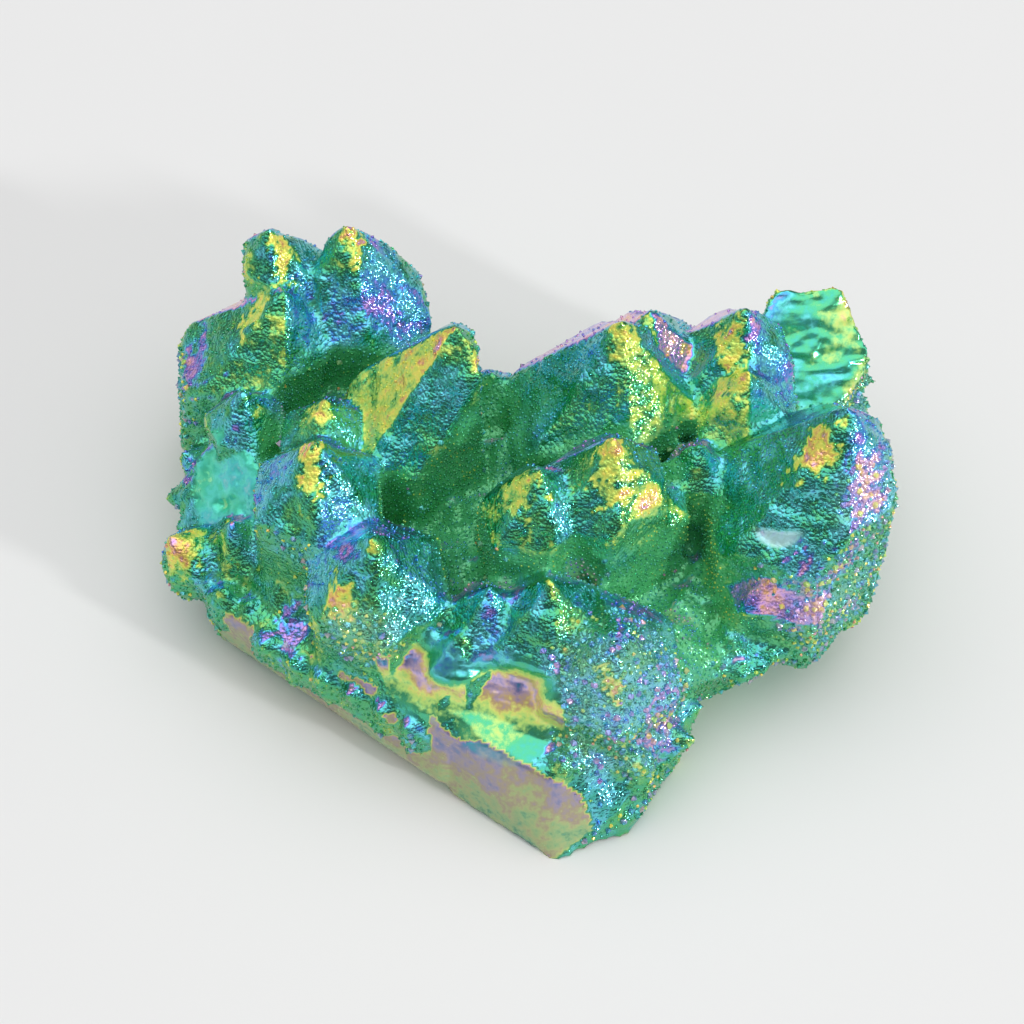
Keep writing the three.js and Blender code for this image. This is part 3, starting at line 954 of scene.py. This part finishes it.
def scattered(name, tree, names, values):
    """A plain mesh piece of the grains that a tree scatters over the crystals."""
    ground = bpy.data.objects["quartz_body"]
    holder = bpy.data.objects.new(name + "_holder", ground.data.copy())
    bpy.context.scene.collection.objects.link(holder)
    scatter = holder.modifiers.new("scatter", "NODES")
    scatter.node_group = tree
    for key, value in values.items():
        scatter[names[key]] = value
    mesh = bpy.data.meshes.new_from_object(holder.evaluated_get(bpy.context.evaluated_depsgraph_get()))
    mesh.name = name
    holder.modifiers.remove(scatter)
    bpy.data.objects.remove(holder)
    piece = bpy.data.objects.new(name, mesh)
    bpy.context.scene.collection.objects.link(piece)
    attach(piece, BODY)
    return piece


class QUARTZ_OT_fine_druse(bpy.types.Operator):
    """Scatter the fine rounded grains over the drusy faces"""

    bl_idname = "quartz.fine_druse"
    bl_label = "Fine druse"

    def execute(self, context):
        settings = context.scene.quartz_druse
        tree, names = scatter_tree("fine_druse", 4, 2, True)
        scattered(
            "fine_druse",
            tree,
            names,
            {
                "spacing": settings.fine_spacing,
                "least": settings.fine_size * 0.55,
                "most": settings.fine_size,
                "length": 1.0,
                "seed": settings.seed,
                "where": "fine",
                "jump": 0.06,
                "material": bpy.data.materials["film_on_quartz"],
            },
        )
        return {"FINISHED"}


class QUARTZ_OT_coarse_druse(bpy.types.Operator):
    """Scatter the coarser sharp crystals over the flanks and crusts"""

    bl_idname = "quartz.coarse_druse"
    bl_label = "Coarse druse"

    def execute(self, context):
        settings = context.scene.quartz_druse
        tree, names = scatter_tree("coarse_druse", 6, 2, False)
        scattered(
            "coarse_druse",
            tree,
            names,
            {
                "spacing": settings.coarse_spacing,
                "least": settings.coarse_size * 0.5,
                "most": settings.coarse_size,
                "length": 1.05,
                "seed": settings.seed + 1,
                "where": "coarse",
                "jump": 0.28,
                "material": bpy.data.materials["film_on_quartz"],
            },
        )
        return {"FINISHED"}


# The stage: half width of the floor, the key light's way, distance and width, and the camera.
FLOOR_HALF = 1.5
KEY_WAY = (0.77, -0.53, 0.35)
KEY_DISTANCE = 1.5
KEY_WIDTH = 0.085
CAMERA_PLACE = (-0.00126, -0.15535, 0.212)
CAMERA_TILT = 38
CAMERA_LENS = 100
CAMERA_SENSOR = 36


class QUARTZ_OT_stage(bpy.types.Operator):
    """Set the floor, the lights and the camera"""

    bl_idname = "quartz.stage"
    bl_label = "Stage"

    def execute(self, context):
        settings = context.scene.quartz_stage
        scene = context.scene
        floor = bpy.data.meshes.new("floor")
        wide = FLOOR_HALF
        corners = [(-wide, -wide, 0), (wide, -wide, 0), (wide, wide, 0), (-wide, wide, 0)]
        floor.from_pydata(corners, [], [(0, 1, 2, 3)])
        floor.materials.append(pale_floor(settings.floor_colour))
        ground = bpy.data.objects.new("floor", floor)
        scene.collection.objects.link(ground)

        world = bpy.data.worlds.new("studio")
        scene.world = world
        world.use_nodes = True
        tree = world.node_tree
        tree.nodes.clear()
        way = add_node(tree, "ShaderNodeTexCoord", (-800, 0)).outputs["Generated"]
        split = add_node(tree, "ShaderNodeSeparateXYZ", (-600, 0))
        tree.links.new(way, split.inputs[0])
        light = add_node(tree, "ShaderNodeMapRange", (-400, 0), interpolation_type="SMOOTHSTEP")
        tree.links.new(split.outputs["Z"], light.inputs["Value"])
        light.inputs["From Min"].default_value = 0.5
        light.inputs["From Max"].default_value = 0.88
        light.inputs["To Min"].default_value = settings.sky_low
        light.inputs["To Max"].default_value = settings.sky_high
        aside = math_node(tree, (-400, -300), "MULTIPLY", split.outputs["X"], split.outputs["X"])
        aside = math_node(tree, (-250, -300), "MULTIPLY", aside, aside)
        light = scaled_sum(tree, (-200, 0), aside, settings.sky_side, light.outputs[0])
        sky = add_node(tree, "ShaderNodeBackground", (0, 0))
        tree.links.new(light, sky.inputs["Strength"])
        end = add_node(tree, "ShaderNodeOutputWorld", (200, 0))
        tree.links.new(sky.outputs[0], end.inputs["Surface"])

        lamp = bpy.data.lights.new("key", "AREA")
        lamp.energy = settings.key_power
        lamp.size = KEY_WIDTH
        key = bpy.data.objects.new("key", lamp)
        toward = Vector(KEY_WAY).normalized()
        key.location = toward * KEY_DISTANCE
        key.rotation_euler = toward.to_track_quat("Z", "Y").to_euler()
        scene.collection.objects.link(key)

        eye = bpy.data.cameras.new("camera")
        eye.lens = CAMERA_LENS
        eye.sensor_width = CAMERA_SENSOR
        eye.clip_start = 0.01
        camera = bpy.data.objects.new("camera", eye)
        camera.location = CAMERA_PLACE
        camera.rotation_euler = (math.radians(CAMERA_TILT), 0, 0)
        scene.collection.objects.link(camera)
        scene.camera = camera
        scene.view_settings.view_transform = "Standard"
        return {"FINISHED"}


def pale_floor(colour):
    """A pale matte floor with a faint unevenness."""
    material = bpy.data.materials.new("pale_floor")
    material.use_nodes = True
    tree = material.node_tree
    shader = tree.nodes["Principled BSDF"]
    coordinates = add_node(tree, "ShaderNodeTexCoord", (-900, 0)).outputs["Object"]
    uneven = noise_node(tree, (-700, 0), coordinates, 30.0, 3.0)
    share = math_node(tree, (-300, 0), "MULTIPLY_ADD", uneven, 0.4)
    share.node.inputs[2].default_value = 0.5
    mix = add_node(tree, "ShaderNodeMix", (-150, 0), data_type="RGBA")
    tree.links.new(share, mix.inputs["Factor"])
    mix.inputs["A"].default_value = (*[c * 0.985 for c in colour], 1.0)
    mix.inputs["B"].default_value = (*[min(c * 1.015, 1.0) for c in colour], 1.0)
    tree.links.new(mix.outputs["Result"], shader.inputs["Base Color"])
    shader.inputs["Roughness"].default_value = 0.7
    return material


class QUARTZ_PT_panel(bpy.types.Panel):
    """The cluster's pieces and their sizes"""

    bl_label = "Quartz cluster"
    bl_idname = "QUARTZ_PT_panel"
    bl_space_type = "VIEW_3D"
    bl_region_type = "UI"
    bl_category = "Quartz"

    def draw(self, context):
        for name, operators in PIECES:
            box = self.layout.box()
            settings = getattr(context.scene, name)
            for key in settings.__annotations__:
                box.prop(settings, key)
            for operator in operators:
                box.operator(operator)


PIECES = (
    ("quartz_film", ()),
    ("quartz_body", ("quartz.body",)),
    ("quartz_druse", ("quartz.fine_druse", "quartz.coarse_druse")),
    ("quartz_stage", ("quartz.stage",)),
)
SETTINGS = {
    "quartz_body": QuartzBodySettings,
    "quartz_druse": QuartzDruseSettings,
    "quartz_film": QuartzFilmSettings,
    "quartz_stage": QuartzStageSettings,
}
OPERATORS = (QUARTZ_OT_body, QUARTZ_OT_fine_druse, QUARTZ_OT_coarse_druse, QUARTZ_OT_stage)


def register():
    """Registers the settings, operators and panel."""
    for name, kind in SETTINGS.items():
        bpy.utils.register_class(kind)
        setattr(bpy.types.Scene, name, bpy.props.PointerProperty(type=kind))
    for kind in (*OPERATORS, QUARTZ_PT_panel):
        bpy.utils.register_class(kind)


def unregister():
    """Removes what register added."""
    for kind in reversed((*OPERATORS, QUARTZ_PT_panel)):
        bpy.utils.unregister_class(kind)
    for name, kind in SETTINGS.items():
        delattr(bpy.types.Scene, name)
        bpy.utils.unregister_class(kind)


def main():
    """Builds the cluster and the stage."""
    register()
    bpy.ops.quartz.body()
    bpy.ops.quartz.fine_druse()
    bpy.ops.quartz.coarse_druse()
    bpy.ops.quartz.stage()


if __name__ == "__main__":
    main()
